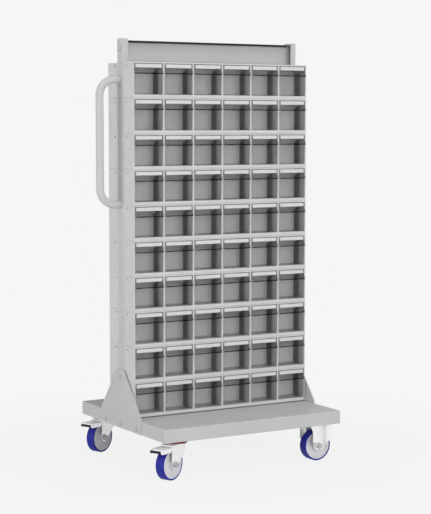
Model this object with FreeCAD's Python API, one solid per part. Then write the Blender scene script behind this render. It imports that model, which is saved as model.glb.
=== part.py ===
import FreeCAD, Part
import math
import os

# Mobile double-sided rack of tilt-out bins on a castor base.
# Millimetres. +Z is up, the front is -Y, the push handle is at -X.
# The origin is on the floor under the middle of the base.

os.makedirs("parts", exist_ok=True)

# Bin modules
rows = 10
bins_per_row = 6
row_pitch = 112.0
module_end_gap = 2.7
module_seam = 0.5
module_depth = 67.0
divider = 6.0
end_wall = 4.0
back_wall = 2.5
top_wall = 4.0
cell_floor = 2.5
rail_height = 10.0
rail_wall = 3.0
joining_hole_d = 6.5
joining_hole_in = 20.0
joining_hole_drop = 11.0
screw_d = 5.0
screw_head_d = 9.0
screw_head = 2.5
screw_length = 12.0
screw_edge = 13.0
screw_drop = 16.0

# Tilt bins
bin_side_gap = 1.3
bin_floor_gap = 0.8
bin_back_gap = 2.5
bin_top_gap = 1.0
bin_wall = 2.0
bin_back_height = 68.0
bin_toe_radius = 6.5
lip_height = 68.0
lip_out = 8.0
lip_edge = 2.5
lip_slope = 11.0
bulge_share = 0.72
label_height = 13.0
label_width = 94.0
label_ledge = 1.5
bin_side_shoulder = 4.0
pin_d = 6.0
pin_reach = 2.4
pin_end_gap = 0.5
running_gap = 0.06

# Base and frame
base_length = 650.0
base_depth = 586.0
base_top = 164.0
skirt = 42.0
base_sheet = 2.0
base_corner = 4.0
stack_gap = 3.5
upright_depth = 38.0
upright_flange = 20.0
upright_sheet = 2.5
upright_bend = 3.0
crossbar_gap = 4.5
crossbar_height = 64.0
crossbar_drop = 6.0
crossbar_depth = 22.0
crossbar_sheet = 2.0
crossbar_bolt_drop = 26.0

# Gusset plates
gusset_sheet = 3.0
gusset_half_foot = 138.0
gusset_half_tip = 23.0
gusset_shoulder = 51.0
gusset_height = 191.0
gusset_tip_round = 14.0
gusset_bolt_low = 15.0
gusset_bolt_span = 108.0
gusset_bolt_high = 165.0

# Push handle
handle_tube_d = 25.0
handle_wall = 2.0
handle_reach = 71.0
handle_bend = 50.0
handle_drop = 59.0
handle_span = 393.0
handle_plug = 17.0

# Bolts
bolt_d = 8.0
bolt_clearance = 0.2
thread_gap = 0.05
button_head_d = 14.0
button_head = 4.4
button_head_round = 2.0
nut_width = 13.0
nut_height = 6.5
thin_nut_height = 4.0
bolt_tail = 0.5

# Castors
tread_width = 30.0
tyre_wall = 5.5
tyre_shoulder = 1.5
hub_length = 38.0
hub_barrel_d = 26.0
rim_width = 29.0
rim_wall = 5.0
rim_taper = 1.5
web_wall = 20.0
axle_d = 12.0
axle_nut_width = 18.0
castor_height = 128.0
wheel_top_gap = 28.0
castor_trail = 36.0
swivel_angle = 203.5
castor_plate_x = 100.0
castor_plate_y = 80.0
castor_plate = 4.0
castor_hole_x = 75.0
castor_hole_y = 60.0
castor_end = 66.0
castor_edge = 50.0
fork_sheet = 3.0
fork_gap = 1.0
fork_crown_gap = 7.0
fork_heel = 15.0
fork_heel_drop = 24.0
fork_eye = 13.5
bracket_half = 21.5
bracket_tip = 12.0
bracket_shoulder_up = 2.0
bracket_foot_down = 13.0
bracket_flange = 14.5
bracket_lip = 12.0
bracket_lip_sheet = 2.0
bracket_lip_up = 16.0
bracket_flare = 22.0
bracket_flare_down = 24.0
race_d = 62.0
race_bore_d = 26.0
kingpin_d = 12.0
kingpin_head_d = 20.0
kingpin_head = 3.0
swivel_gap = 0.3
channel_width = 94.0
channel_sheet = 2.5

# Brake pedals
pedal_pin_d = 5.0
pedal_pivot_along = 42.0
pedal_pivot_down = 3.5
pedal_sheet = 2.5
pedal_length = 62.0
pedal_half_width = 24.0
pedal_neck = 18.5
pedal_flange = 14.0
pedal_flange_round = 6.0
pedal_clear = 3.0
shoe_start = 10.0
shoe_length = 6.0
shoe_drop = 2.5

# Sizes that follow from the ones above
half_length = base_length / 2
half_depth = base_depth / 2
half_upright = upright_depth / 2
castor_x = half_length - castor_end
castor_y = half_depth - castor_edge
module_width = base_length - 2 * module_end_gap
cell_pitch = (module_width - 2 * end_wall + divider) / bins_per_row
cell_width = cell_pitch - divider
module_height = row_pitch - module_seam
stack_bottom = base_top + stack_gap
crossbar_bottom = stack_bottom + rows * row_pitch + crossbar_gap
crossbar_top = crossbar_bottom + crossbar_height
upright_top = crossbar_top + crossbar_drop
front_face = half_upright + module_depth
bin_width = cell_width - 2 * bin_side_gap
pivot_depth = front_face - bin_toe_radius
pivot_height = rail_height + bin_floor_gap + bin_toe_radius
pin_radius = pin_d / 2
bin_top = module_height - top_wall - bin_top_gap
skirt_bottom = base_top - skirt
wheel_d = castor_height - wheel_top_gap
axle_z = wheel_d / 2
fork_crown_z = wheel_d + fork_crown_gap
pedal_pivot_z = fork_crown_z - pedal_pivot_down
bracket_shoulder_z = axle_z + bracket_shoulder_up
bracket_foot_z = axle_z - bracket_foot_down
bracket_lip_z = axle_z + bracket_lip_up
bracket_flare_z = castor_height - castor_plate - bracket_flare_down
fork_inside = hub_length / 2 + fork_gap
fork_outside = fork_inside + fork_sheet
bolt_hole_radius = bolt_d / 2 + bolt_clearance
nut_bore_radius = bolt_d / 2 + thread_gap
screw_x = half_length - screw_edge


def vec(x, y, z):
    return FreeCAD.Vector(x, y, z)


def block(x0, x1, y0, y1, z0, z1):
    return Part.makeBox(x1 - x0, y1 - y0, z1 - z0, vec(x0, y0, z0))


def rod(radius, start, along, length):
    return Part.makeCylinder(radius, length, vec(*start), vec(*along))


def polygon(points):
    return Part.Face(Part.makePolygon(points + [points[0]]))


def hex_prism(width, height, centre, along):
    # a hexagon across flats, flats facing +X and -X before it is turned to its axis
    corner = width / math.sqrt(3)
    points = []
    for step in range(6):
        turn = math.radians(30 + 60 * step)
        points.append(vec(corner * math.cos(turn), corner * math.sin(turn), 0))
    prism = polygon(points).extrude(vec(0, 0, height))
    prism.Placement = FreeCAD.Placement(vec(*centre), FreeCAD.Rotation(vec(0, 0, 1), vec(*along)))
    return prism


def mirrored_x(shape):
    return shape.mirror(vec(0, 0, 0), vec(1, 0, 0))


def turned(shape, degrees):
    copy = shape.copy()
    copy.rotate(vec(0, 0, 0), vec(0, 0, 1), degrees)
    return copy


def moved(shape, x, y, z):
    copy = shape.copy()
    copy.translate(vec(x, y, z))
    return copy


def save(name, shape):
    shape.exportStep("parts/" + name + ".step")


def vertical_edges(shape, height):
    found = []
    for edge in shape.Edges:
        low, high = edge.Vertexes[0].Point, edge.Vertexes[-1].Point
        if abs(abs(high.z - low.z) - height) < 0.01 and abs(high.x - low.x) + abs(high.y - low.y) < 0.01:
            found.append(edge)
    return found


# Base tray: a folded sheet, open below
def base_tray():
    outer = block(-half_length, half_length, -half_depth, half_depth, skirt_bottom, base_top)
    outer = outer.makeFillet(base_corner, vertical_edges(outer, skirt))
    top_edges = [edge for edge in outer.Edges if edge.BoundBox.ZMin > base_top - 0.01]
    outer = outer.makeFillet(base_sheet, top_edges)
    inner = block(
        base_sheet - half_length, half_length - base_sheet,
        base_sheet - half_depth, half_depth - base_sheet,
        skirt_bottom - 1, base_top - base_sheet)
    tray = outer.cut(inner)
    for side in (-1, 1):
        for y, z in gusset_skirt_bolts():
            start = (side * (half_length + 1), y, z)
            tray = tray.cut(rod(bolt_hole_radius, start, (-side, 0, 0), 2 * base_sheet + 2))
    return tray


def gusset_skirt_bolts():
    low = skirt_bottom + gusset_bolt_low
    return [(-gusset_bolt_span, low), (0.0, low), (gusset_bolt_span, low)]


def gusset_upright_bolt():
    return (0.0, skirt_bottom + gusset_bolt_high)


# Channel under the tray, which brings the castor plates down to their height
def castor_channel(centre_x):
    inside = half_depth - base_sheet
    left, right = centre_x - channel_width / 2, centre_x + channel_width / 2
    under = base_top - base_sheet
    channel = block(left, right, -inside, inside, castor_height, under)
    hollow = block(
        left + channel_sheet, right - channel_sheet, -inside - 1, inside + 1,
        castor_height + channel_sheet, under + 1)
    channel = channel.cut(hollow)
    for x, y in castor_holes(centre_x):
        channel = channel.cut(rod(bolt_hole_radius, (x, y, castor_height - 1), (0, 0, 1), channel_sheet + 2))
    return channel


def castor_holes(centre_x):
    spots = []
    for side_y in (-1, 1):
        for step_x in (-1, 1):
            for step_y in (-1, 1):
                x = centre_x + step_x * castor_hole_x / 2
                y = side_y * castor_y + step_y * castor_hole_y / 2
                spots.append((x, y))
    return spots


def bolt_with_nut(start, along, grip, nut):
    # button head outside the start point, shank through the grip, nut beyond it
    direction = vec(*along)
    head_start = vec(*start) - direction * button_head
    head = Part.makeCylinder(button_head_d / 2, button_head, head_start, direction)
    outer = [edge for edge in head.Edges
             if edge.Closed and (edge.CenterOfMass - vec(*start)).Length > button_head / 2]
    head = head.makeFillet(button_head_round, outer)
    shank = Part.makeCylinder(bolt_d / 2, grip + nut + bolt_tail, vec(*start), direction)
    bolt = head.fuse(shank).removeSplitter()
    seat = vec(*start) + direction * grip
    nut_body = hex_prism(nut_width, nut, (seat.x, seat.y, seat.z), along)
    nut_body = nut_body.cut(Part.makeCylinder(nut_bore_radius, nut, seat, direction))
    return [bolt, nut_body]


# Uprights: folded channels that open towards the middle
def upright(side):
    height = upright_top - base_top
    outer = block(
        -half_length, upright_flange - half_length, -half_upright, half_upright, base_top, upright_top)
    bends = [edge for edge in vertical_edges(outer, height) if edge.CenterOfMass.x < 1 - half_length]
    outer = outer.makeFillet(upright_bend, bends)
    hollow = block(
        upright_sheet - half_length, upright_flange - half_length + 1,
        upright_sheet - half_upright, half_upright - upright_sheet,
        base_top - 1, upright_top + 1)
    channel = outer.cut(hollow)
    through_web = upright_sheet + 2
    for y, z in [gusset_upright_bolt(), crossbar_bolt()]:
        channel = channel.cut(rod(bolt_hole_radius, (-half_length - 1, y, z), (1, 0, 0), through_web))
    for z in module_screw_heights():
        start = (-screw_x, -half_depth, z)
        channel = channel.cut(rod(screw_d / 2 + bolt_clearance, start, (0, 1, 0), base_depth))
    if side > 0:
        return mirrored_x(channel)
    for z in handle_heights():
        channel = channel.cut(rod(bolt_hole_radius, (-half_length - 1, 0, z), (1, 0, 0), through_web))
    return channel


def module_screw_heights():
    return [stack_bottom + row_pitch * row + module_height - screw_drop for row in range(rows)]


def handle_heights():
    high = crossbar_bottom - handle_drop
    return [high - handle_span, high]


def crossbar_bolt():
    return (0.0, crossbar_top - crossbar_bolt_drop)


# Top crossbar: a channel that opens to the front, with closed ends against the upright webs
def top_crossbar():
    bottom, top = crossbar_bottom, crossbar_top
    reach = half_length - upright_sheet
    near, far = -crossbar_depth / 2, crossbar_depth / 2
    bar = block(-reach, reach, near, far, bottom, top)
    hollow = block(
        crossbar_sheet - reach, reach - crossbar_sheet, near - 1, far - crossbar_sheet,
        bottom + crossbar_sheet, top - crossbar_sheet)
    bar = bar.cut(hollow)
    y, z = crossbar_bolt()
    for side in (-1, 1):
        bar = bar.cut(rod(bolt_hole_radius, (side * (reach + 1), y, z), (-side, 0, 0), crossbar_sheet + 2))
    return bar


# Gusset plates outside the tray's end and the upright's web
def gusset(side):
    x0 = -half_length - gusset_sheet
    foot, tip = gusset_half_foot, gusset_half_tip
    shoulder, top = skirt_bottom + gusset_shoulder, skirt_bottom + gusset_height
    outline = [
        vec(x0, -foot, skirt_bottom), vec(x0, foot, skirt_bottom), vec(x0, foot, shoulder),
        vec(x0, tip, top), vec(x0, -tip, top), vec(x0, -foot, shoulder)]
    plate = polygon(outline).extrude(vec(gusset_sheet, 0, 0))
    tip_edges = []
    for edge in plate.Edges:
        along_x = abs(edge.Vertexes[0].Point.x - edge.Vertexes[-1].Point.x) > gusset_sheet / 2
        if along_x and edge.CenterOfMass.z > top - 1:
            tip_edges.append(edge)
    plate = plate.makeFillet(gusset_tip_round, tip_edges)
    for y, z in gusset_skirt_bolts() + [gusset_upright_bolt()]:
        plate = plate.cut(rod(bolt_hole_radius, (x0 - 1, y, z), (1, 0, 0), gusset_sheet + 2))
    return mirrored_x(plate) if side > 0 else plate


def gusset_bolts():
    solids = []
    for side in (-1, 1):
        x = side * (half_length + gusset_sheet)
        for y, z in gusset_skirt_bolts():
            solids += bolt_with_nut((x, y, z), (-side, 0, 0), gusset_sheet + base_sheet, thin_nut_height)
        y, z = gusset_upright_bolt()
        solids += bolt_with_nut((x, y, z), (-side, 0, 0), gusset_sheet + upright_sheet, nut_height)
    return Part.makeCompound(solids)


def crossbar_bolts():
    solids = []
    y, z = crossbar_bolt()
    for side in (-1, 1):
        grip = upright_sheet + crossbar_sheet
        solids += bolt_with_nut((side * half_length, y, z), (-side, 0, 0), grip, nut_height)
    return Part.makeCompound(solids)


# Push handle: a bent tube with plugged ends, screwed to the left upright from inside
def handle_path(inset):
    wall = -half_length - inset
    out = -half_length - handle_reach
    low, high = handle_heights()
    bend = handle_bend
    lean = bend * math.sqrt(0.5)
    edges = [
        Part.LineSegment(vec(wall, 0, low), vec(out + bend, 0, low)).toShape(),
        Part.Arc(
            vec(out + bend, 0, low), vec(out + bend - lean, 0, low + bend - lean),
            vec(out, 0, low + bend)).toShape(),
        Part.LineSegment(vec(out, 0, low + bend), vec(out, 0, high - bend)).toShape(),
        Part.Arc(
            vec(out, 0, high - bend), vec(out + bend - lean, 0, high - bend + lean),
            vec(out + bend, 0, high)).toShape(),
        Part.LineSegment(vec(out + bend, 0, high), vec(wall, 0, high)).toShape()]
    return Part.Wire(edges)


def tube_along(path, radius):
    start = path.Vertexes[0].Point
    ring = Part.Wire([Part.makeCircle(radius, start, vec(1, 0, 0))])
    return path.makePipeShell([ring], True, False)


def push_handle():
    handle = tube_along(handle_path(0.0), handle_tube_d / 2)
    handle = handle.cut(tube_along(handle_path(handle_plug), handle_tube_d / 2 - handle_wall))
    for z in handle_heights():
        handle = handle.cut(rod(nut_bore_radius, (-half_length, 0, z), (-1, 0, 0), handle_plug - bolt_tail))
    return handle


def handle_screws():
    solids = []
    for z in handle_heights():
        inside = -half_length + upright_sheet
        head = hex_prism(nut_width, nut_height, (inside, 0, z), (1, 0, 0))
        shank_length = upright_sheet + handle_plug - 2 * bolt_tail
        shank = rod(bolt_d / 2, (inside, 0, z), (-1, 0, 0), shank_length)
        solids.append(head.fuse(shank).removeSplitter())
    return Part.makeCompound(solids)


# Module housing: a moulded box of cells, open at the front, built at the front of the rack
def housing(bottom):
    half = module_width / 2
    top = bottom + module_height
    body = block(-half, half, -front_face, -half_upright, bottom, top)
    ceiling = top - top_wall
    deck = bottom + rail_height
    for column in range(bins_per_row):
        middle = column_x(column)
        body = body.cut(block(
            middle - cell_width / 2, middle + cell_width / 2,
            -front_face - 1, -half_upright - back_wall, deck, ceiling))
    body = body.cut(block(
        end_wall - half, half - end_wall,
        rail_wall - front_face, -half_upright - back_wall,
        bottom - 1, deck - cell_floor))
    pin_line = module_width - 2 * end_wall + 2 * (pin_reach + pin_end_gap)
    body = body.cut(rod(
        pin_radius + running_gap, (-pin_line / 2, -pivot_depth, bottom + pivot_height), (1, 0, 0), pin_line))
    for side in (-1, 1):
        hole_y = -half_upright - joining_hole_in
        start = (side * (half + 1), hole_y, top - joining_hole_drop)
        body = body.cut(rod(joining_hole_d / 2, start, (-side, 0, 0), end_wall + 2))
        screw = (side * screw_x, -half_upright + 1, top - screw_drop)
        body = body.cut(rod(screw_d / 2 + bolt_clearance, screw, (0, -1, 0), back_wall + 2))
    return body


def column_x(column):
    return (column - (bins_per_row - 1) / 2) * cell_pitch


def module_screws():
    solids = []
    for z in module_screw_heights():
        for side in (-1, 1):
            seat = (side * screw_x, -half_upright - back_wall, z)
            head = rod(screw_head_d / 2, seat, (0, -1, 0), screw_head)
            shank = rod(screw_d / 2, seat, (0, 1, 0), screw_length)
            solids.append(head.fuse(shank).removeSplitter())
    front = Part.makeCompound(solids)
    return Part.makeCompound([front, turned(front, 180)])


# Tilt bin: one clear moulding with a bulged front, a lip to pull and a label ledge.
# Outlines are drawn from the side: out is the distance from the rack's middle, up from the module's foot.
def bin_point(out, up):
    return vec(0, -out, up)


def line(first, last):
    return Part.LineSegment(first, last).toShape()


def bin_side_outline():
    face = front_face
    toe = bin_toe_radius
    foot = pivot_height - toe
    lean = toe * math.sqrt(0.5)
    lip = rail_height + lip_height
    rear = half_upright + back_wall + bin_back_gap
    rear_top = rail_height + bin_floor_gap + bin_back_height
    mid_up = (pivot_height + lip) / 2
    rear_foot = bin_point(rear, foot)
    toe_start = bin_point(face - toe, foot)
    toe_mid = bin_point(face - toe + lean, pivot_height - lean)
    toe_end = bin_point(face, pivot_height)
    bulge = bin_point(face + lip_out * bulge_share, mid_up)
    lip_low = bin_point(face + lip_out, lip)
    lip_high = bin_point(face + lip_out, lip + lip_edge)
    step = bin_point(face, lip + lip_edge + lip_slope)
    front_top = bin_point(face, bin_top)
    inner_top = bin_point(face - bin_side_shoulder, bin_top)
    back_top = bin_point(rear, rear_top)
    edges = [
        line(rear_foot, toe_start),
        Part.Arc(toe_start, toe_mid, toe_end).toShape(),
        Part.Arc(toe_end, bulge, lip_low).toShape(),
        line(lip_low, lip_high),
        line(lip_high, step),
        line(step, front_top),
        line(front_top, inner_top),
        line(inner_top, back_top),
        line(back_top, rear_foot)]
    return Part.Face(Part.Wire(edges))


def bin_cavity_outline():
    wall = bin_wall
    face = front_face - wall
    toe = bin_toe_radius - wall
    foot = pivot_height - toe
    lean = toe * math.sqrt(0.5)
    lip = rail_height + lip_height
    rear = half_upright + back_wall + bin_back_gap + wall
    above = module_height + 1
    mid_up = (pivot_height + lip) / 2
    toe_start = bin_point(face - toe, foot)
    toe_mid = bin_point(face - toe + lean, pivot_height - lean)
    toe_end = bin_point(face, pivot_height)
    bulge = bin_point(face + lip_out * bulge_share, mid_up)
    lip_low = bin_point(face + lip_out, lip)
    lip_high = bin_point(face + lip_out, lip + lip_edge - wall / 2)
    step = bin_point(face, lip + lip_edge + lip_slope - wall / 2)
    front_top = bin_point(face, above)
    back_top = bin_point(rear, above)
    rear_foot = bin_point(rear, foot)
    edges = [
        line(rear_foot, toe_start),
        Part.Arc(toe_start, toe_mid, toe_end).toShape(),
        Part.Arc(toe_end, bulge, lip_low).toShape(),
        line(lip_low, lip_high),
        line(lip_high, step),
        line(step, front_top),
        line(front_top, back_top),
        line(back_top, rear_foot)]
    return Part.Face(Part.Wire(edges))


def tilt_bin():
    half = bin_width / 2
    body = moved(bin_side_outline(), -half, 0, 0).extrude(vec(bin_width, 0, 0))
    cavity_half = half - bin_wall
    cavity = moved(bin_cavity_outline(), -cavity_half, 0, 0).extrude(vec(2 * cavity_half, 0, 0))
    body = body.cut(cavity)
    ledge_top = bin_top - label_height
    ledge = block(
        -label_width / 2, label_width / 2, -front_face - label_ledge, -front_face + bin_wall / 2,
        ledge_top - label_ledge, ledge_top)
    pin_length = bin_side_gap + pin_reach
    for side in (-1, 1):
        pin = rod(pin_radius, (side * (half - bin_wall / 2), -pivot_depth, pivot_height), (side, 0, 0),
                  pin_length + bin_wall / 2)
        body = body.fuse(pin)
    return body.fuse(ledge).removeSplitter()


def bin_row(one_bin, bottom):
    return Part.makeCompound([moved(one_bin, column_x(column), 0, bottom) for column in range(bins_per_row)])


# Wheels, built about the X axis of spin at the origin and turned to their places
def revolved(points, along):
    section = polygon([vec(across, 0, radius) for across, radius in points])
    ring = section.revolve(vec(0, 0, 0), vec(1, 0, 0), 360)
    ring.Placement = FreeCAD.Placement(vec(0, 0, 0), FreeCAD.Rotation(vec(1, 0, 0), vec(*along)))
    return ring


def tyre(along):
    half = tread_width / 2
    outer, inner = wheel_d / 2, wheel_d / 2 - tyre_wall
    return revolved([
        (-half, inner), (-half, outer - tyre_shoulder), (tyre_shoulder - half, outer),
        (half - tyre_shoulder, outer), (half, outer - tyre_shoulder), (half, inner)], along)


def wheel_centre(along):
    rim_out = wheel_d / 2 - tyre_wall - thread_gap
    rim_in = rim_out - rim_wall
    barrel = hub_barrel_d / 2
    bore = axle_d / 2 + running_gap
    rim, web, hub = rim_width / 2, web_wall / 2, hub_length / 2
    return revolved([
        (-rim, rim_out), (rim, rim_out), (rim, rim_in), (web, rim_in - rim_taper), (web, barrel + rim_taper),
        (hub, barrel), (hub, bore), (-hub, bore), (-hub, barrel), (-web, barrel + rim_taper),
        (-web, rim_in - rim_taper), (-rim, rim_in)], along)


# Axle bolt with a hexagon head and nut outside the fork legs, along local Y
def axle_bolt():
    reach = fork_outside + nut_height
    shaft = rod(axle_d / 2, (0, -reach, 0), (0, 1, 0), 2 * reach)
    bolt = shaft
    for side in (-1, 1):
        bolt = bolt.fuse(hex_prism(axle_nut_width, nut_height, (0, side * fork_outside, 0), (0, side, 0)))
    return bolt.removeSplitter()


# Fork leg seen from the side, from the crown down to the axle eye
def leg_outline(heel, toe, heel_drop, eye_along, crown_top):
    eye = fork_eye
    down = math.hypot(eye_along + heel, crown_top - heel_drop - axle_z)
    slant = math.atan2(crown_top - heel_drop - axle_z, -heel - eye_along)
    touch = slant + math.acos(eye / down)
    low = vec(eye_along, 0, axle_z - eye)
    touch_point = vec(eye_along + eye * math.cos(touch), 0, axle_z + eye * math.sin(touch))
    toe_point = vec(eye_along + eye, 0, axle_z)
    edges = [
        line(vec(-heel, 0, crown_top), vec(-heel, 0, crown_top - heel_drop)),
        line(vec(-heel, 0, crown_top - heel_drop), touch_point),
        Part.Arc(touch_point, low, toe_point).toShape(),
        line(toe_point, vec(toe, 0, crown_top)),
        line(vec(toe, 0, crown_top), vec(-heel, 0, crown_top))]
    return Part.Face(Part.Wire(edges))


def legs(outline):
    leg = moved(outline, 0, fork_inside, 0).extrude(vec(0, fork_sheet, 0))
    return [leg, leg.mirror(vec(0, 0, 0), vec(0, 1, 0))]


# Swivel castor in its own frame: kingpin at the origin, wheel trailing along +X
def swivel_plate():
    under = castor_height - castor_plate
    half_x, half_y = castor_plate_x / 2, castor_plate_y / 2
    return block(-half_x, half_x, -half_y, half_y, under, castor_height)


def kingpin_and_plate(angle):
    plate = turned(swivel_plate(), -angle)
    for x, y in castor_holes(0.0)[:4]:
        hole = rod(bolt_hole_radius, (x, y + castor_y, 0), (0, 0, 1), castor_height + 1)
        plate = plate.cut(turned(hole, -angle))
    pin_bottom = fork_crown_z - swivel_gap - kingpin_head
    pin = rod(kingpin_d / 2, (0, 0, pin_bottom), (0, 0, 1), castor_height - castor_plate / 2 - pin_bottom)
    head = rod(kingpin_head_d / 2, (0, 0, pin_bottom), (0, 0, 1), kingpin_head)
    return plate.fuse(pin).fuse(head).removeSplitter()


def raceway_ring():
    low = fork_crown_z + fork_sheet + swivel_gap
    height = castor_height - castor_plate - low
    return rod(race_d / 2, (0, 0, low), (0, 0, 1), height).cut(
        rod(race_bore_d / 2, (0, 0, low - 1), (0, 0, 1), height + 2))


def swivel_fork():
    crown_top = fork_crown_z + fork_sheet
    toe = castor_trail + fork_eye
    crown = block(-fork_heel, toe, -fork_outside, fork_outside, fork_crown_z, crown_top)
    fork = crown.fuse(rod(race_d / 2, (0, 0, fork_crown_z), (0, 0, 1), fork_sheet))
    for leg in legs(leg_outline(fork_heel, toe, fork_heel_drop, castor_trail, crown_top)):
        fork = fork.fuse(leg)
    fork = fork.removeSplitter()
    across = 2 * fork_outside + 2
    fork = fork.cut(rod(axle_d / 2 + thread_gap, (castor_trail, -across / 2, axle_z), (0, 1, 0), across))
    fork = fork.cut(rod(kingpin_d / 2 + running_gap, (0, 0, fork_crown_z - 1), (0, 0, 1), fork_sheet + 2))
    pivot = (pedal_pivot_along, -across / 2, pedal_pivot_z)
    return fork.cut(rod(pedal_pin_d / 2 + running_gap, pivot, (0, 1, 0), across))


def brake_pedal():
    pin = rod(pedal_pin_d / 2, (pedal_pivot_along, -fork_outside, pedal_pivot_z), (0, 1, 0), 2 * fork_outside)
    low, high = pedal_pivot_z - pedal_sheet / 2, pedal_pivot_z + pedal_sheet / 2
    wide_start = castor_trail + fork_eye + pedal_clear
    tip = pedal_pivot_along + pedal_length
    neck = block(pedal_pivot_along, wide_start + 1, -pedal_neck, pedal_neck, low, high)
    tread = block(wide_start, tip, -pedal_half_width, pedal_half_width, low, high)
    flange = block(
        wide_start, tip, -pedal_half_width, pedal_sheet - pedal_half_width, high - pedal_flange, high)
    lower_ends = [edge for edge in flange.Edges if edge.BoundBox.ZMax < low and edge.BoundBox.YLength > 1]
    flange = flange.makeFillet(pedal_flange_round, lower_ends)
    flanges = flange.fuse(flange.mirror(vec(0, 0, 0), vec(0, 1, 0)))
    shoe_from = pedal_pivot_along + shoe_start
    shoe = block(shoe_from, shoe_from + shoe_length, -pedal_neck + pedal_clear, pedal_neck - pedal_clear,
                 low - shoe_drop, low)
    return pin.fuse(neck).fuse(tread).fuse(flanges).fuse(shoe).removeSplitter()


# Fixed castor in its own frame: wheel straight below the plate, axle along Y
def fixed_bracket():
    plate_under = castor_height - castor_plate
    bracket = swivel_plate()
    for x, y in castor_holes(0.0)[:4]:
        start = (x, y + castor_y, plate_under - 1)
        bracket = bracket.cut(rod(bolt_hole_radius, start, (0, 0, 1), castor_plate + 2))
    half, tip, top = bracket_half, bracket_tip, plate_under
    outline = polygon([
        vec(-half, 0, top), vec(-half, 0, bracket_shoulder_z), vec(-tip, 0, bracket_foot_z),
        vec(tip, 0, bracket_foot_z), vec(half, 0, bracket_shoulder_z), vec(half, 0, top)])
    lip_plane = fork_outside + bracket_flange
    out, flare = half + bracket_lip, half + bracket_flare
    lip_outline = polygon([
        vec(half - fork_sheet, lip_plane, top), vec(half - fork_sheet, lip_plane, bracket_lip_z),
        vec(out, lip_plane, bracket_lip_z), vec(out, lip_plane, bracket_flare_z), vec(flare, lip_plane, top)])
    flange = block(half - fork_sheet, half, fork_outside - 1, lip_plane, bracket_shoulder_z, top)
    wing = flange.fuse(lip_outline.extrude(vec(0, bracket_lip_sheet, 0)))
    wings = wing.fuse(mirrored_x(wing))
    for leg in legs(outline) + [wings, wings.mirror(vec(0, 0, 0), vec(0, 1, 0))]:
        bracket = bracket.fuse(leg)
    across = 2 * fork_outside + 2
    return bracket.removeSplitter().cut(
        rod(axle_d / 2 + thread_gap, (0, -across / 2, axle_z), (0, 1, 0), across))


def castor_bolts():
    solids = []
    for centre_x in (-castor_x, castor_x):
        for x, y in castor_holes(centre_x):
            start = (x, y, castor_height - castor_plate)
            solids += bolt_with_nut(start, (0, 0, 1), castor_plate + channel_sheet, nut_height)
    return Part.makeCompound(solids)


def save_swivel_castor(name, y):
    def placed(shape):
        return moved(turned(shape, swivel_angle), -castor_x, y, 0)

    wheel = (castor_trail, 0, axle_z)
    save(name + "_plate", placed(kingpin_and_plate(swivel_angle)))
    save(name + "_raceway", placed(raceway_ring()))
    save(name + "_fork", placed(swivel_fork()))
    save(name + "_axle", placed(moved(axle_bolt(), *wheel)))
    save(name + "_hub", placed(moved(wheel_centre((0, 1, 0)), *wheel)))
    save(name + "_tyre", placed(moved(tyre((0, 1, 0)), *wheel)))
    save(name + "_brake_pedal", placed(brake_pedal()))


def save_fixed_castor(name, y):
    centre = (castor_x, y, axle_z)
    save(name + "_bracket", moved(fixed_bracket(), castor_x, y, 0))
    save(name + "_axle", moved(axle_bolt(), *centre))
    save(name + "_hub", moved(wheel_centre((0, 1, 0)), *centre))
    save(name + "_tyre", moved(tyre((0, 1, 0)), *centre))


save("base_tray", base_tray())
save("castor_channel_left", castor_channel(-castor_x))
save("castor_channel_right", castor_channel(castor_x))
save("upright_left", upright(-1))
save("upright_right", upright(1))
save("top_crossbar", top_crossbar())
save("gusset_left", gusset(-1))
save("gusset_right", gusset(1))
save("gusset_bolts", gusset_bolts())
save("crossbar_bolts", crossbar_bolts())
save("push_handle", push_handle())
save("handle_screws", handle_screws())
save("castor_bolts", castor_bolts())
save("module_screws", module_screws())

housings = Part.makeCompound([housing(stack_bottom + row_pitch * row) for row in range(rows)])
save("housings_front", housings)
save("housings_rear", turned(housings, 180))

one_bin = tilt_bin()
for row in range(rows):
    foot = stack_bottom + row_pitch * (rows - 1 - row)
    bins = bin_row(one_bin, foot)
    number = str(row + 1).zfill(2)
    save("bins_front_" + number, bins)
    save("bins_rear_" + number, turned(bins, 180))

save_swivel_castor("castor_front_left", -castor_y)
save_swivel_castor("castor_rear_left", castor_y)
save_fixed_castor("castor_front_right", -castor_y)
save_fixed_castor("castor_rear_right", castor_y)
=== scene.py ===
import bpy
import bmesh
import math
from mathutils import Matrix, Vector


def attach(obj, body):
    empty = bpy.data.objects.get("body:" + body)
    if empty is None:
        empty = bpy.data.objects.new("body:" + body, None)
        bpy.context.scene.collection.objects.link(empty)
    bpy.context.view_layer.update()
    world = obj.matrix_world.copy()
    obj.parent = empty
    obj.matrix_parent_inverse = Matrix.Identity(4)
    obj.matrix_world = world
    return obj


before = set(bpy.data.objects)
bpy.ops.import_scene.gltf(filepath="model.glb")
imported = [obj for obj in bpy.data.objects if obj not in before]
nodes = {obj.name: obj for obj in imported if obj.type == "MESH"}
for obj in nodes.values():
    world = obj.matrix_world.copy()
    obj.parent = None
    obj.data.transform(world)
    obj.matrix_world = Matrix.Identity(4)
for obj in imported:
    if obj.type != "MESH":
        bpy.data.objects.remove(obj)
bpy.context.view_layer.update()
print("frame in,", len(nodes), "pieces")

scene = bpy.context.scene
scene.view_settings.view_transform = "Standard"
# enough steps for light to pass the walls of a bin both ways
scene.cycles.transparent_max_bounces = 32
scene.cycles.diffuse_bounces = 6
scene.cycles.max_bounces = 12


# the rows of bins: height of the lowest module's foot, pitch and count
stackFoot, rowPitch, rowCount = 0.1675, 0.112, 10
# most of a noise's values lie between these
noiseLow, noiseHigh = 0.3, 0.7


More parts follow.
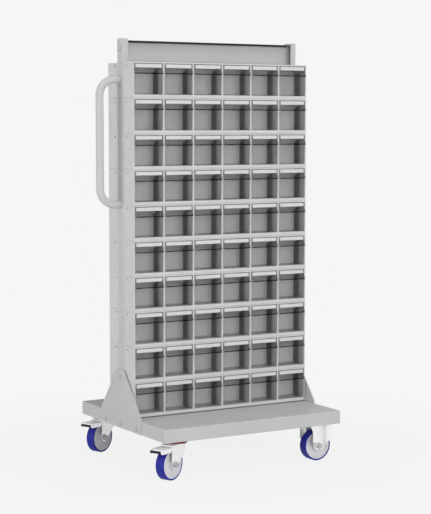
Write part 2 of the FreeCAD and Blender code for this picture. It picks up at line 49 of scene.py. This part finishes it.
# shader building blocks, all in metres on the object's own coordinates
def startFinish(name):
    mat = bpy.data.materials.new(name)
    mat.use_nodes = True
    tree = mat.node_tree
    spots = tree.nodes.new("ShaderNodeTexCoord")
    return mat, tree, tree.nodes["Principled BSDF"], spots.outputs["Object"]


def mottle(tree, spots, scale, detail=4.0, rough=0.55):
    noise = tree.nodes.new("ShaderNodeTexNoise")
    noise.inputs["Scale"].default_value = scale
    noise.inputs["Detail"].default_value = detail
    noise.inputs["Roughness"].default_value = rough
    tree.links.new(spots, noise.inputs["Vector"])
    return noise.outputs["Fac"]


def toneRamp(tree, source, stops):
    ramp = tree.nodes.new("ShaderNodeValToRGB")
    bar = ramp.color_ramp.elements
    while len(bar) < len(stops):
        bar.new(0.5)
    for mark, (place, tone) in zip(bar, stops):
        mark.position = place
        mark.color = (*tone, 1.0)
    tree.links.new(source, ramp.inputs["Fac"])
    return ramp.outputs["Color"]


# lighter and darker clouds of one tone
def cloudTones(tree, source, stuff):
    tone, swing = Vector(stuff["tone"]), stuff["cloud"]
    return toneRamp(tree, source, [(noiseLow, tone * (1 - swing)), (noiseHigh, tone * (1 + swing))])


# white where the share is nothing, down to a grey tint where it is all
def shareTint(tree, share, tint):
    return toneRamp(tree, share, [(0.0, (1.0, 1.0, 1.0)), (1.0, (tint, tint, tint))])


def spread(tree, source, low, high):
    part = tree.nodes.new("ShaderNodeMapRange")
    part.inputs["From Min"].default_value = noiseLow
    part.inputs["From Max"].default_value = noiseHigh
    part.inputs["To Min"].default_value = low
    part.inputs["To Max"].default_value = high
    tree.links.new(source, part.inputs["Value"])
    return part.outputs["Result"]


def roughen(tree, shader, source, depth, strength, soften=0.0):
    bump = tree.nodes.new("ShaderNodeBump")
    bump.inputs["Distance"].default_value = depth
    bump.inputs["Strength"].default_value = strength
    tree.links.new(source, bump.inputs["Height"])
    if soften:
        edge = tree.nodes.new("ShaderNodeBevel")
        edge.samples = 4
        edge.inputs["Radius"].default_value = soften
        tree.links.new(edge.outputs["Normal"], bump.inputs["Normal"])
    tree.links.new(bump.outputs["Normal"], shader.inputs["Normal"])


def blendTones(tree, first, second, share):
    mix = tree.nodes.new("ShaderNodeMix")
    mix.data_type = "RGBA"
    mix.blend_type = "MULTIPLY"
    mix.inputs[0].default_value = share
    tree.links.new(first, mix.inputs[6])
    tree.links.new(second, mix.inputs[7])
    return mix.outputs[2]


def numberStep(tree, operation, first, second=None, third=None):
    step = tree.nodes.new("ShaderNodeMath")
    step.operation = operation
    for socket, value in zip(step.inputs, (first, second, third)):
        if value is None:
            continue
        if isinstance(value, (int, float)):
            socket.default_value = value
        else:
            tree.links.new(value, socket)
    return step.outputs[0]


# a smooth step from zero at the first value to one at the second
def easeIn(tree, source, first, second):
    ease = tree.nodes.new("ShaderNodeMapRange")
    ease.interpolation_type = "SMOOTHSTEP"
    ease.inputs["From Min"].default_value = first
    ease.inputs["From Max"].default_value = second
    tree.links.new(source, ease.inputs["Value"])
    return ease.outputs["Result"]


# how far a face looks along one axis
def looksAlong(tree, axis):
    parts = tree.nodes.new("ShaderNodeSeparateXYZ")
    tree.links.new(tree.nodes.new("ShaderNodeNewGeometry").outputs["True Normal"], parts.inputs[0])
    return parts.outputs[axis]


# powder coat on the sheet metal and the tube, with a painted shadow line under the crossbar's top flange
paint = {"tone": (0.585, 0.59, 0.59), "cloud": 0.03, "cloudScale": 5.0,
         "fleck": 620.0, "fleckStops": (0.35, 0.6), "fleckTone": 0.93, "fleckShare": 0.8,
         "shine": (0.36, 0.5), "shineScale": 38.0, "mirror": 0.03,
         "peel": 0.00012, "peelStrength": 0.35, "edge": 0.0012,
         "shadowLineFoot": 1.3490, "shadowLineTop": 1.3515, "shadowLineHalf": 0.3045, "shadowLineTone": 0.10}


# painted shadow: a dark line along the top of the crossbar, between the uprights, standing in for the shade
# under its top flange
def darkEdge(tree, spots):
    parts = tree.nodes.new("ShaderNodeSeparateXYZ")
    tree.links.new(spots, parts.inputs[0])
    rise = easeIn(tree, parts.outputs["Z"], paint["shadowLineFoot"], paint["shadowLineTop"])
    fromMiddle = numberStep(tree, "ABSOLUTE", parts.outputs["X"])
    between = numberStep(tree, "LESS_THAN", fromMiddle, paint["shadowLineHalf"])
    share = numberStep(tree, "MULTIPLY", rise, between)
    return shareTint(tree, share, paint["shadowLineTone"])


def paintFinish():
    mat, tree, shader, spots = startFinish("greyPowderCoat")
    clouds = cloudTones(tree, mottle(tree, spots, paint["cloudScale"], 3.0), paint)
    fleck = mottle(tree, spots, paint["fleck"], 2.0)
    dark, bright = paint["fleckStops"]
    flecks = toneRamp(tree, fleck, [(dark, (paint["fleckTone"],) * 3), (bright, (1.0, 1.0, 1.0))])
    coat = blendTones(tree, clouds, flecks, paint["fleckShare"])
    # the powder coat darkened by the painted shadow line under the crossbar's top flange
    tree.links.new(blendTones(tree, coat, darkEdge(tree, spots), 1.0), shader.inputs["Base Color"])
    sheen = mottle(tree, spots, paint["shineScale"])
    tree.links.new(spread(tree, sheen, *paint["shine"]), shader.inputs["Roughness"])
    shader.inputs["Specular IOR Level"].default_value = paint["mirror"]
    roughen(tree, shader, fleck, paint["peel"], paint["peelStrength"], paint["edge"])
    return mat


# clear polystyrene of the bins: thin mouldings that hardly bend the view, with painted shade along the pull
# lip, above it and by the back corners
clear = {"tint": (0.994, 0.997, 0.997), "haze": 0.006, "bend": 1.25, "shine": (0.14, 0.28), "gloss": 0.25,
         "lipShadowTint": 0.42, "lipHeight": 0.0757, "lipHalf": 0.0017, "lipDepth": 0.0905,
         "browShadowTint": 0.87, "browDepth": 0.083,
         "cornerShadowTint": 0.77, "cornerDepths": (0.066, 0.046), "sideways": 0.7,
         "cloudScale": 26.0, "sheenScale": 70.0, "rippleScale": 130.0, "ripple": 0.00005, "rippleStrength": 0.2}


# painted shade on the clear walls: a dark line along the pull lip, a grey band above it for the shade under the
# cell's ceiling, and grey along the sides by the back corners for the shade deep in the cells
def wallShades(tree, spots):
    parts = tree.nodes.new("ShaderNodeSeparateXYZ")
    tree.links.new(spots, parts.inputs[0])
    above = numberStep(tree, "SUBTRACT", parts.outputs["Z"], stackFoot)
    inRow = numberStep(tree, "MODULO", above, rowPitch)
    outside = numberStep(tree, "ABSOLUTE", parts.outputs["Y"])
    onLip = numberStep(tree, "COMPARE", inRow, clear["lipHeight"], clear["lipHalf"])
    lip = numberStep(tree, "MULTIPLY", onLip, numberStep(tree, "GREATER_THAN", outside, clear["lipDepth"]))
    overLip = numberStep(tree, "GREATER_THAN", inRow, clear["lipHeight"])
    brow = numberStep(tree, "MULTIPLY", overLip, numberStep(tree, "GREATER_THAN", outside, clear["browDepth"]))
    across = numberStep(tree, "ABSOLUTE", looksAlong(tree, "X"))
    sideways = numberStep(tree, "GREATER_THAN", across, clear["sideways"])
    corner = numberStep(tree, "MULTIPLY", sideways, easeIn(tree, outside, *clear["cornerDepths"]))
    shades = []
    for share, tint in ((lip, "lipShadowTint"), (brow, "browShadowTint"), (corner, "cornerShadowTint")):
        shades.append(shareTint(tree, share, clear[tint]))
    return shades


def clearFinish():
    mat, tree, shader, spots = startFinish("clearPolystyrene")
    tint = Vector(clear["tint"])
    clouds = toneRamp(tree, mottle(tree, spots, clear["cloudScale"], 5.0),
                      [(noiseLow, tint * (1 - clear["haze"])), (noiseHigh, tint)])
    # the clear tint darkened by the painted shade at the lip, above it and by the back corners
    for shade in wallShades(tree, spots):
        clouds = blendTones(tree, clouds, shade, 1.0)
    through = tree.nodes.new("ShaderNodeBsdfTransparent")
    tree.links.new(clouds, through.inputs["Color"])
    shader.inputs["Base Color"].default_value = (clear["gloss"],) * 3 + (1.0,)
    shader.inputs["Metallic"].default_value = 1.0
    sheen = mottle(tree, spots, clear["sheenScale"], 6.0)
    tree.links.new(spread(tree, sheen, *clear["shine"]), shader.inputs["Roughness"])
    ripples = mottle(tree, spots, clear["rippleScale"], 3.0)
    roughen(tree, shader, ripples, clear["ripple"], clear["rippleStrength"])
    gloss = tree.nodes.new("ShaderNodeFresnel")
    # both faces of a wall mirror alike: the bend is turned round on the way out
    inside = tree.nodes.new("ShaderNodeNewGeometry").outputs["Backfacing"]
    bend = numberStep(tree, "MULTIPLY_ADD", inside, 1 / clear["bend"] - clear["bend"], clear["bend"])
    tree.links.new(bend, gloss.inputs["IOR"])
    both = tree.nodes.new("ShaderNodeMixShader")
    tree.links.new(gloss.outputs["Fac"], both.inputs["Fac"])
    tree.links.new(through.outputs["BSDF"], both.inputs[1])
    tree.links.new(shader.outputs["BSDF"], both.inputs[2])
    tree.links.new(both.outputs["Shader"], tree.nodes["Material Output"].inputs["Surface"])
    return mat


# zinc plate on the castor pressings, and the darker plate on bolts; painted light: less metallic on upward
# faces, so tops come out whiter
zinc = {"tone": (0.92, 0.92, 0.915), "spangle": 0.04, "shine": (0.26, 0.42), "metal": 0.75, "whitenedTopMetal": 0.1}
boltPlate = {"tone": (0.45, 0.455, 0.46), "spangle": 0.08, "shine": (0.34, 0.5), "metal": 0.5, "whitenedTopMetal": 0.5}
plating = {"crystals": 160.0, "sheenScale": 90.0, "grain": 420.0,
           "depth": 0.00005, "strength": 0.25, "edge": 0.0008, "spangleStops": (0.2, 0.8),
           "topFrom": 0.6, "topTo": 0.9}


def platedFinish(name, plate):
    mat, tree, shader, spots = startFinish(name)
    tone, swing = Vector(plate["tone"]), plate["spangle"]
    crystals = tree.nodes.new("ShaderNodeTexVoronoi")
    crystals.inputs["Scale"].default_value = plating["crystals"]
    tree.links.new(spots, crystals.inputs["Vector"])
    dark, bright = plating["spangleStops"]
    spangles = toneRamp(tree, crystals.outputs["Color"],
                        [(dark, tone * (1 - swing)), (bright, tone * (1 + swing))])
    tree.links.new(spangles, shader.inputs["Base Color"])
    sheen = mottle(tree, spots, plating["sheenScale"])
    tree.links.new(spread(tree, sheen, *plate["shine"]), shader.inputs["Roughness"])
    # painted light: upward faces turn less metallic, so they catch more diffuse light and come out whiter
    upward = easeIn(tree, looksAlong(tree, "Z"), plating["topFrom"], plating["topTo"])
    metal = numberStep(tree, "MULTIPLY_ADD", upward, plate["whitenedTopMetal"] - plate["metal"], plate["metal"])
    tree.links.new(metal, shader.inputs["Metallic"])
    grain = mottle(tree, spots, plating["grain"], 3.0)
    roughen(tree, shader, grain, plating["depth"], plating["strength"], plating["edge"])
    return mat


# how strongly the grain of a plain finish shows
grainStrength = 0.3
# moulded grey plastic of the module housings
mould = {"tone": (0.645, 0.648, 0.645), "cloud": 0.035, "cloudScale": 9.0,
         "shine": (0.38, 0.52), "shineScale": 55.0, "mirror": 0.12,
         "grain": 1500.0, "grainDetail": 2.0, "depth": 0.00006, "edge": 0.0009}
# pale nylon wheel centres
nylon = {"tone": (0.72, 0.72, 0.75), "cloud": 0.04, "cloudScale": 40.0,
         "shine": (0.3, 0.45), "shineScale": 120.0, "mirror": 0.35,
         "grain": 800.0, "grainDetail": 3.0, "depth": 0.00008, "edge": 0.001}
# blue polyurethane tread, a little scuffed
tread = {"tone": (0.028, 0.033, 0.31), "cloud": 0.14, "cloudScale": 60.0,
         "shine": (0.36, 0.6), "shineScale": 180.0, "mirror": 0.1,
         "grain": 500.0, "grainDetail": 3.0, "depth": 0.00015, "edge": 0.001}
# black moulding under the brake treads
blackMould = {"tone": (0.018, 0.018, 0.02), "cloud": 0.25, "cloudScale": 90.0,
              "shine": (0.42, 0.6), "shineScale": 270.0, "mirror": 0.2,
              "grain": 900.0, "grainDetail": 3.0, "depth": 0.0001, "edge": 0.0008}
# red seal under the swivel plates
sealRubber = {"tone": (0.20, 0.012, 0.022), "cloud": 0.15, "cloudScale": 90.0,
              "shine": (0.4, 0.55), "shineScale": 270.0, "mirror": 0.2,
              "grain": 700.0, "grainDetail": 3.0, "depth": 0.0001, "edge": 0.0}
# uncoated white card in the label holders
card = {"tone": (0.71, 0.71, 0.705), "cloud": 0.02, "cloudScale": 30.0,
        "shine": (0.62, 0.75), "shineScale": 90.0, "mirror": 0.1,
        "grain": 1400.0, "grainDetail": 3.0, "depth": 0.00005, "edge": 0.0}


def bodyFinish(name, stuff):
    mat, tree, shader, spots = startFinish(name)
    clouds = cloudTones(tree, mottle(tree, spots, stuff["cloudScale"], 5.0), stuff)
    tree.links.new(clouds, shader.inputs["Base Color"])
    sheen = mottle(tree, spots, stuff["shineScale"])
    tree.links.new(spread(tree, sheen, *stuff["shine"]), shader.inputs["Roughness"])
    shader.inputs["Specular IOR Level"].default_value = stuff["mirror"]
    grain = mottle(tree, spots, stuff["grain"], stuff["grainDetail"])
    roughen(tree, shader, grain, stuff["depth"], grainStrength, stuff["edge"])
    return mat


finish = {
    "grey_paint": paintFinish(),
    "housing_plastic": bodyFinish("mouldedGreyPlastic", mould),
    "clear_bin": clearFinish(),
    "zinc_steel": platedFinish("zincPlate", zinc),
    "bright_bolts": platedFinish("boltPlate", boltPlate),
    "wheel_plastic": bodyFinish("paleNylon", nylon),
    "blue_tread": bodyFinish("bluePolyurethane", tread),
}
blackFinish = bodyFinish("blackMoulding", blackMould)
redFinish = bodyFinish("redSeal", sealRubber)
cardFinish = bodyFinish("whiteCard", card)


def dress(names, slotName):
    for name in names:
        mesh = nodes[name].data
        mesh.materials.clear()
        mesh.materials.append(finish[slotName])


frameNodes = ["base_tray", "castor_channel_left", "castor_channel_right", "upright_left", "upright_right",
              "top_crossbar", "gusset_left", "gusset_right", "push_handle"]
dress(frameNodes, "grey_paint")
dress(["housings_front", "housings_rear"], "housing_plastic")
dress([name for name in nodes if name.startswith("bins_")], "clear_bin")
dress(["gusset_bolts", "crossbar_bolts", "handle_screws", "castor_bolts", "module_screws"], "bright_bolts")
for name in nodes:
    if not name.startswith("castor_") or name in frameNodes or name == "castor_bolts":
        continue
    if name.endswith("_tyre"):
        dress([name], "blue_tread")
    elif name.endswith("_hub"):
        dress([name], "wheel_plastic")
    elif name.endswith("_axle"):
        dress([name], "bright_bolts")
    else:
        dress([name], "zinc_steel")
print("finishes on")


def newPiece(name, bm, mat, smooth=False):
    mesh = bpy.data.meshes.new(name)
    bmesh.ops.recalc_face_normals(bm, faces=bm.faces)
    bm.to_mesh(mesh)
    bm.free()
    for face in mesh.polygons:
        face.use_smooth = smooth
    mesh.materials.append(mat)
    piece = bpy.data.objects.new(name, mesh)
    scene.collection.objects.link(piece)
    return piece


# a rectangle with rounded corners, as pairs of numbers
def roundedOutline(middleA, middleB, width, height, corner, steps=4):
    outline = []
    for signA, signB, start in ((1, 1, 0), (-1, 1, 90), (-1, -1, 180), (1, -1, 270)):
        for step in range(steps + 1):
            turn = math.radians(start + 90 * step / steps)
            outline.append((middleA + signA * (width / 2 - corner) + corner * math.cos(turn),
                            middleB + signB * (height / 2 - corner) + corner * math.sin(turn)))
    return outline


# side faces between two rings of corners, and a lid on each end
def closeUp(bm, layers):
    count = len(layers[0])
    for low, high in zip(layers, layers[1:]):
        for spot in range(count):
            after = (spot + 1) % count
            bm.faces.new((low[spot], low[after], high[after], high[spot]))
    bm.faces.new(list(reversed(layers[0])))
    bm.faces.new(layers[-1])


# a plate with rounded corners in the XZ plane, its back at y and its face thick towards facing
def roundedPlate(bm, middle, width, height, thick, corner, bevel, facing):
    outline = roundedOutline(middle.x, middle.z, width, height, corner)
    layers = []
    shoulder = middle.y + facing * (thick - bevel)
    for y, shrink in ((middle.y, 0.0), (shoulder, 0.0), (middle.y + facing * thick, bevel)):
        ring = []
        for x, z in outline:
            inX = x - math.copysign(shrink, x - middle.x)
            inZ = z - math.copysign(shrink, z - middle.z)
            ring.append(bm.verts.new((inX, y, inZ)))
        layers.append(ring)
    closeUp(bm, layers)


# white cards that stand on the bins' ledges, six to a row
labels = {"width": 0.0925, "height": 0.0114, "thick": 0.0007, "corner": 0.0008, "bevel": 0.0002,
          "pitch": 0.1071, "perRow": 6, "foot": 0.0935, "face": 0.086, "lift": 0.0002}


def labelRow(side, row):
    facing = -1 if side == "front" else 1
    bm = bmesh.new()
    rowFoot = stackFoot + rowPitch * (rowCount - row)
    for column in range(labels["perRow"]):
        x = (column - (labels["perRow"] - 1) / 2) * labels["pitch"]
        z = rowFoot + labels["foot"] + labels["lift"] + labels["height"] / 2
        middle = Vector((x, facing * (labels["face"] + labels["lift"]), z))
        roundedPlate(bm, middle, labels["width"], labels["height"], labels["thick"], labels["corner"],
                     labels["bevel"], facing)
    number = str(row).zfill(2)
    piece = newPiece("labels_" + side + "_" + number, bm, cardFinish)
    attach(piece, "bins_" + side + "_" + number)


for side in ("front", "rear"):
    for row in range(1, rowCount + 1):
        labelRow(side, row)
print("label cards in", 2 * rowCount, "rows")


# ring of revolution about the vertical, from (radius, z) pairs
def turnedRing(bm, profile, steps=64):
    rings = []
    for step in range(steps):
        turn = 2 * math.pi * step / steps
        rings.append([bm.verts.new((r * math.cos(turn), r * math.sin(turn), z)) for r, z in profile])
    count = len(profile)
    for step in range(steps):
        here, there = rings[step], rings[(step + 1) % steps]
        for spot in range(count):
            after = (spot + 1) % count
            bm.faces.new((here[spot], there[spot], there[after], here[after]))


# swivel castors: where their kingpins are and which way they trail
castors = {"kingpinX": -0.259, "kingpinY": 0.243, "trailAngle": 203.5}
seal = {"inner": 0.0315, "outer": 0.0345, "low": 0.1125, "high": 0.1205, "bulge": 0.0008}


def sealRing(name, kingpinY):
    bm = bmesh.new()
    low, high = seal["low"], seal["high"]
    profile = [(seal["inner"], low), (seal["outer"], low), (seal["outer"] + seal["bulge"], (low + high) / 2),
               (seal["outer"], high), (seal["inner"], high)]
    turnedRing(bm, profile)
    piece = newPiece(name + "_seal", bm, redFinish, smooth=True)
    piece.location = (castors["kingpinX"], kingpinY, 0.0)
    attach(piece, "rack")


# black moulding under the front of a brake tread, with its stiffening ribs
treadPad = {"start": 0.074, "end": 0.1036, "half": 0.0212, "top": 0.1020, "bottom": 0.0945,
            "round": 0.003, "ribs": 5, "ribDrop": 0.0016, "ribWide": 0.0024,
            "ribInset": 0.003, "ribSink": 0.0001}


def brakePad(name, kingpinY):
    bm = bmesh.new()
    start, end, half = treadPad["start"], treadPad["end"], treadPad["half"]
    outline = roundedOutline((start + end) / 2, 0.0, end - start, 2 * half, treadPad["round"])
    layers = []
    for z in (treadPad["bottom"], treadPad["top"]):
        layers.append([bm.verts.new((x, y, z)) for x, y in outline])
    closeUp(bm, layers)
    for rib in range(treadPad["ribs"]):
        along = start + (end - start) * (rib + 0.5) / treadPad["ribs"]
        size = Vector((treadPad["ribWide"], 2 * (half - treadPad["ribInset"]), treadPad["ribDrop"]))
        made = bmesh.ops.create_cube(bm, size=1.0)
        bmesh.ops.scale(bm, vec=size, verts=made["verts"])
        ribMiddle = treadPad["bottom"] - treadPad["ribDrop"] / 2 + treadPad["ribSink"]
        bmesh.ops.translate(bm, vec=Vector((along, 0.0, ribMiddle)), verts=made["verts"])
    piece = newPiece(name + "_pad", bm, blackFinish)
    piece.rotation_euler = (0.0, 0.0, math.radians(castors["trailAngle"]))
    piece.location = (castors["kingpinX"], kingpinY, 0.0)
    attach(piece, name + "_brake")


for name, side in (("castor_front_left", -1), ("castor_rear_left", 1)):
    sealRing(name, side * castors["kingpinY"])
    brakePad(name, side * castors["kingpinY"])
print("castor seals and brake pads in")


# studio: pale floor that fades into the backdrop, soft lamps, and the camera of the photograph
studio = {"pale": 0.9215, "floorTone": 0.8, "floorRough": 0.9, "floorHalf": 30.0,
          "shadowCore": 0.3, "shadowReach": 1.5, "shadowShare": 0.08,
          "ambientFront": 0.52, "ambientRear": 0.16, "washFrom": -0.4, "washTo": 0.5, "aim": (0.0, 0.0, 0.7)}
lamps = {
    "frontLamp": {"place": (0.0, -4.7, 2.0), "wide": 3.4, "tall": 3.4, "watts": 83.0},
    "leftLamp": {"place": (-4.8, -0.1, 1.3), "wide": 2.4, "tall": 2.4, "watts": 78.0},
    "topLamp": {"place": (0.2, -1.7, 4.8), "wide": 2.4, "tall": 2.4, "watts": 38.0},
    "backLamp": {"place": (1.0, 4.6, 0.55), "wide": 3.0, "tall": 1.0, "watts": 62.0},
}
shot = {"place": (-2.5521, -4.3917, 1.0902), "tilt": 85.14, "turn": -30.402, "lens": 108.62, "sensor": 36.0}


# one where the camera looks, straight or in a reflection, and zero for the light on the object
def seenRays(tree):
    path = tree.nodes.new("ShaderNodeLightPath")
    return numberStep(tree, "MAXIMUM", path.outputs["Is Camera Ray"], path.outputs["Is Glossy Ray"])


def studioWorld():
    world = bpy.data.worlds.new("studioWorld")
    scene.world = world
    world.use_nodes = True
    tree = world.node_tree
    light = tree.nodes["Background"]
    light.inputs["Color"].default_value = (1.0, 1.0, 1.0, 1.0)
    spots = tree.nodes.new("ShaderNodeTexCoord")
    parts = tree.nodes.new("ShaderNodeSeparateXYZ")
    tree.links.new(spots.outputs["Generated"], parts.inputs[0])
    wash = tree.nodes.new("ShaderNodeMapRange")
    wash.inputs["From Min"].default_value = studio["washFrom"]
    wash.inputs["From Max"].default_value = studio["washTo"]
    wash.inputs["To Min"].default_value = studio["ambientFront"]
    wash.inputs["To Max"].default_value = studio["ambientRear"]
    tree.links.new(parts.outputs["Y"], wash.inputs["Value"])
    tree.links.new(wash.outputs["Result"], light.inputs["Strength"])
    seen = tree.nodes.new("ShaderNodeBackground")
    seen.inputs["Color"].default_value = (studio["pale"], studio["pale"], studio["pale"], 1.0)
    mix = tree.nodes.new("ShaderNodeMixShader")
    tree.links.new(seenRays(tree), mix.inputs["Fac"])
    tree.links.new(light.outputs["Background"], mix.inputs[1])
    tree.links.new(seen.outputs["Background"], mix.inputs[2])
    tree.links.new(mix.outputs["Shader"], tree.nodes["World Output"].inputs["Surface"])


def studioFloor():
    bm = bmesh.new()
    half = studio["floorHalf"]
    corners = ((-half, -half), (half, -half), (half, half), (-half, half))
    bm.faces.new([bm.verts.new((x, y, 0.0)) for x, y in corners])
    mat = bpy.data.materials.new("paleFloor")
    mat.use_nodes = True
    tree = mat.node_tree
    matte = tree.nodes["Principled BSDF"]
    tone = studio["floorTone"]
    matte.inputs["Base Color"].default_value = (tone, tone, tone, 1.0)
    matte.inputs["Roughness"].default_value = studio["floorRough"]
    glow = tree.nodes.new("ShaderNodeEmission")
    glow.inputs["Color"].default_value = (studio["pale"], studio["pale"], studio["pale"], 1.0)
    spots = tree.nodes.new("ShaderNodeTexCoord")
    away = tree.nodes.new("ShaderNodeVectorMath")
    away.operation = "LENGTH"
    tree.links.new(spots.outputs["Object"], away.inputs[0])
    clearOf = easeIn(tree, away.outputs["Value"], studio["shadowCore"], studio["shadowReach"])
    fade = numberStep(tree, "MULTIPLY_ADD", clearOf, studio["shadowShare"], 1.0 - studio["shadowShare"])
    mix = tree.nodes.new("ShaderNodeMixShader")
    tree.links.new(numberStep(tree, "MULTIPLY", fade, seenRays(tree)), mix.inputs["Fac"])
    tree.links.new(matte.outputs["BSDF"], mix.inputs[1])
    tree.links.new(glow.outputs["Emission"], mix.inputs[2])
    tree.links.new(mix.outputs["Shader"], tree.nodes["Material Output"].inputs["Surface"])
    newPiece("studioFloor", bm, mat)


def studioLamps():
    target = Vector(studio["aim"])
    for name, lamp in lamps.items():
        light = bpy.data.lights.new(name, "AREA")
        light.shape = "RECTANGLE"
        light.size, light.size_y = lamp["wide"], lamp["tall"]
        light.energy = lamp["watts"]
        holder = bpy.data.objects.new(name, light)
        holder.location = lamp["place"]
        holder.rotation_euler = (target - Vector(lamp["place"])).to_track_quat("-Z", "Y").to_euler()
        holder.visible_glossy = name != "backLamp"  # or it shows as a bright patch in the rear deck
        scene.collection.objects.link(holder)


def photoCamera():
    lens = bpy.data.cameras.new("photoCamera")
    lens.lens = shot["lens"]
    lens.sensor_width = shot["sensor"]
    lens.sensor_fit = "AUTO"
    holder = bpy.data.objects.new("photoCamera", lens)
    holder.location = shot["place"]
    holder.rotation_euler = (math.radians(shot["tilt"]), 0.0, math.radians(shot["turn"]))
    scene.collection.objects.link(holder)
    scene.camera = holder


studioWorld()
studioFloor()
studioLamps()
photoCamera()
print("studio ready")
